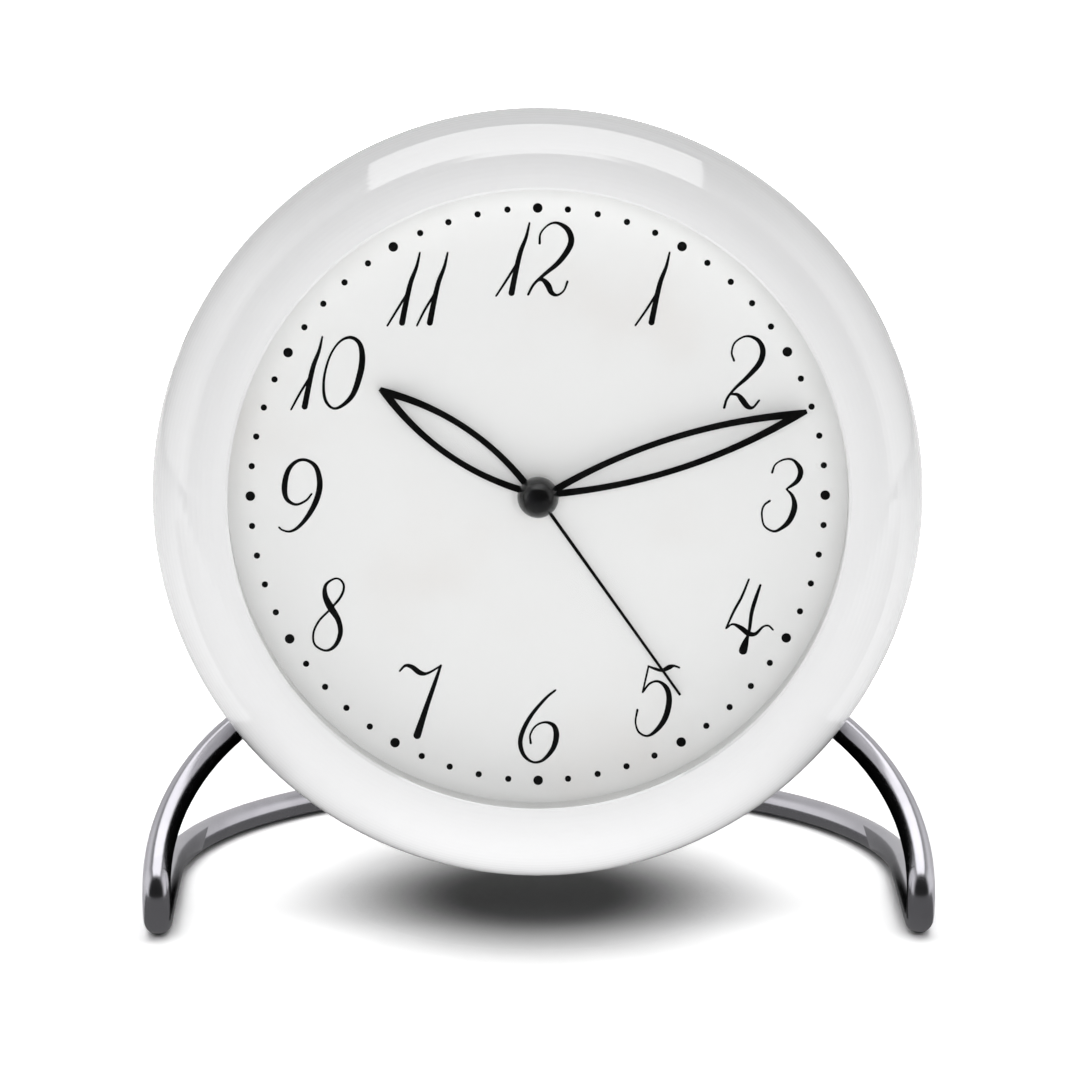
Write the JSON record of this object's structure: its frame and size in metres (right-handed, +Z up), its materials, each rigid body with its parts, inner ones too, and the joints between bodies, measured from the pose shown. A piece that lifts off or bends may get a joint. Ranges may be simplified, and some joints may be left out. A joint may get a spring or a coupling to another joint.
{
  "type": "table clock",
  "caption": "Round white quartz alarm clock with open leaf hands behind a flat crystal, tilted back in a bent chrome rod stand, with rear setting knobs and a cell door.",
  "frame": {"origin": "middle of the bounding box on the table", "axes": "+X to the right seen from the front, +Y from the dial towards the back, +Z up"},
  "size_m": [0.112, 0.0895, 0.1153],
  "materials": {
    "case_white": "glossy white",
    "crystal": "clear",
    "gasket": "matte",
    "white_inner": "matte white",
    "dial": "matte off-white with black print",
    "hand_black": "satin black",
    "rod_chrome": "polished",
    "steel": "plain",
    "gear_brass": "plain",
    "gear_plastic": "natural",
    "movement_black": "matte black",
    "copper": "enamelled wire",
    "board_green": "lacquered",
    "black_part": "matte",
    "cell": "printed sleeve",
    "knob": "satin white",
    "slide_red": "matte"
  },
  "bodies": {
    "clock": {"bezel_ring": "case_white", "crystal": "crystal", "crystal_gasket": "gasket", "spacer_ring": "white_inner", "dial_plate": "dial", "rear_housing": "case_white", "rear_cover": "white_inner", "cover_screws": "steel", "stand_rod": "rod_chrome", "stand_grub_screws": "steel", "movement_front": "movement_black", "middle_plate": "gear_plastic", "movement_back": "movement_black", "train_bridge": "gear_plastic", "stator": "steel", "coil_bobbin": "gear_plastic", "coil_winding": "copper", "circuit_board": "board_green", "quartz_can": "steel", "circuit_chip": "black_part", "battery": "cell", "battery_plus_contact": "steel", "battery_minus_spring": "steel", "buzzer": "black_part", "alarm_switch_body": "steel", "snooze_board": "board_green", "snooze_switch": "black_part", "snooze_spring": "steel"},
    "minute": {"minute_arbor": "steel", "minute_hand": "hand_black", "hand_cap": "hand_black"},
    "hour": {"hour_wheel": "gear_brass", "hour_hand": "hand_black"},
    "alarm": {"alarm_wheel": "gear_brass", "alarm_hand": "hand_black"},
    "motion": {"motion_wheel": "gear_brass"},
    "time_set": {"time_set_knob": "knob", "time_set_shaft": "steel"},
    "alarm_set": {"alarm_set_knob": "knob", "alarm_set_shaft": "steel"},
    "centre": {"centre_wheel": "gear_brass"},
    "third": {"third_wheel": "gear_brass"},
    "fourth": {"fourth_wheel": "gear_brass"},
    "fifth": {"fifth_wheel": "gear_brass"},
    "rotor_body": {"rotor": "steel"},
    "door": {"battery_door": "white_inner"},
    "slide_body": {"alarm_slide": "slide_red"},
    "snooze": {"snooze_button": "case_white"}
  },
  "joints": [
    {"name": "minute_turn", "type": "hinge", "parent": "clock", "child": "minute", "pos_m": [0, -0.02026, 0.06021], "axis": [0, 0.9954, -0.0958], "continuous": true},
    {"name": "motion_turn", "type": "hinge", "parent": "clock", "child": "motion", "pos_m": [-0.0096, -0.02026, 0.06021], "axis": [0, 0.9954, -0.0958], "continuous": true},
    {"name": "hour_turn", "type": "hinge", "parent": "clock", "child": "hour", "pos_m": [0, -0.02026, 0.06021], "axis": [0, 0.9954, -0.0958], "continuous": true},
    {"name": "time_knob_turn", "type": "hinge", "parent": "clock", "child": "time_set", "pos_m": [-0.0192, -0.02026, 0.06021], "axis": [0, 0.9954, -0.0958], "continuous": true},
    {"name": "alarm_knob_turn", "type": "hinge", "parent": "clock", "child": "alarm_set", "pos_m": [0.0192, -0.02026, 0.06021], "axis": [0, 0.9954, -0.0958], "continuous": true},
    {"name": "alarm_turn", "type": "hinge", "parent": "clock", "child": "alarm", "pos_m": [0, -0.02026, 0.06021], "axis": [0, 0.9954, -0.0958], "continuous": true},
    {"name": "rotor_turn", "type": "hinge", "parent": "clock", "child": "rotor_body", "pos_m": [0.01051, -0.02161, 0.04627], "axis": [0, 0.9954, -0.0958], "continuous": true},
    {"name": "fifth_turn", "type": "hinge", "parent": "clock", "child": "fifth", "pos_m": [0.00477, -0.02181, 0.04419], "axis": [0, 0.9954, -0.0958], "continuous": true},
    {"name": "fourth_turn", "type": "hinge", "parent": "clock", "child": "fourth", "pos_m": [-0.00022, -0.02153, 0.04706], "axis": [0, 0.9954, -0.0958], "continuous": true},
    {"name": "third_turn", "type": "hinge", "parent": "clock", "child": "third", "pos_m": [-0.00392, -0.02092, 0.05345], "axis": [0, 0.9954, -0.0958], "continuous": true},
    {"name": "centre_turn", "type": "hinge", "parent": "clock", "child": "centre", "pos_m": [0, -0.02026, 0.06021], "axis": [0, 0.9954, -0.0958], "continuous": true},
    {"name": "battery_door_hinge", "type": "hinge", "parent": "clock", "child": "door", "pos_m": [0, 0.00382, 0.06829], "axis": [-1, 0, 0], "range_deg": [0, 90]},
    {"name": "alarm_slide_move", "type": "slide", "parent": "clock", "child": "slide_body", "axis": [1, 0, 0], "range_m": [0, 0.003]},
    {"name": "snooze_press", "type": "slide", "parent": "clock", "child": "snooze", "axis": [0, -0.0958, -0.9954], "range_m": [0, 0.0008], "stiffness_N_per_m": 600, "springref_m": -0.0006, "deforming": ["snooze_spring"]}
  ],
  "couplings": [
    {"joint": "motion_turn", "follows": "minute_turn", "ratio": -0.33333},
    {"joint": "hour_turn", "follows": "minute_turn", "ratio": 0.083333},
    {"joint": "time_knob_turn", "follows": "minute_turn", "ratio": 1},
    {"joint": "alarm_turn", "follows": "alarm_knob_turn", "ratio": -0.25},
    {"joint": "fifth_turn", "follows": "rotor_turn", "ratio": -0.16667},
    {"joint": "fourth_turn", "follows": "rotor_turn", "ratio": 0.033333},
    {"joint": "third_turn", "follows": "rotor_turn", "ratio": -0.0044444},
    {"joint": "centre_turn", "follows": "rotor_turn", "ratio": 0.00055556}
  ]
}
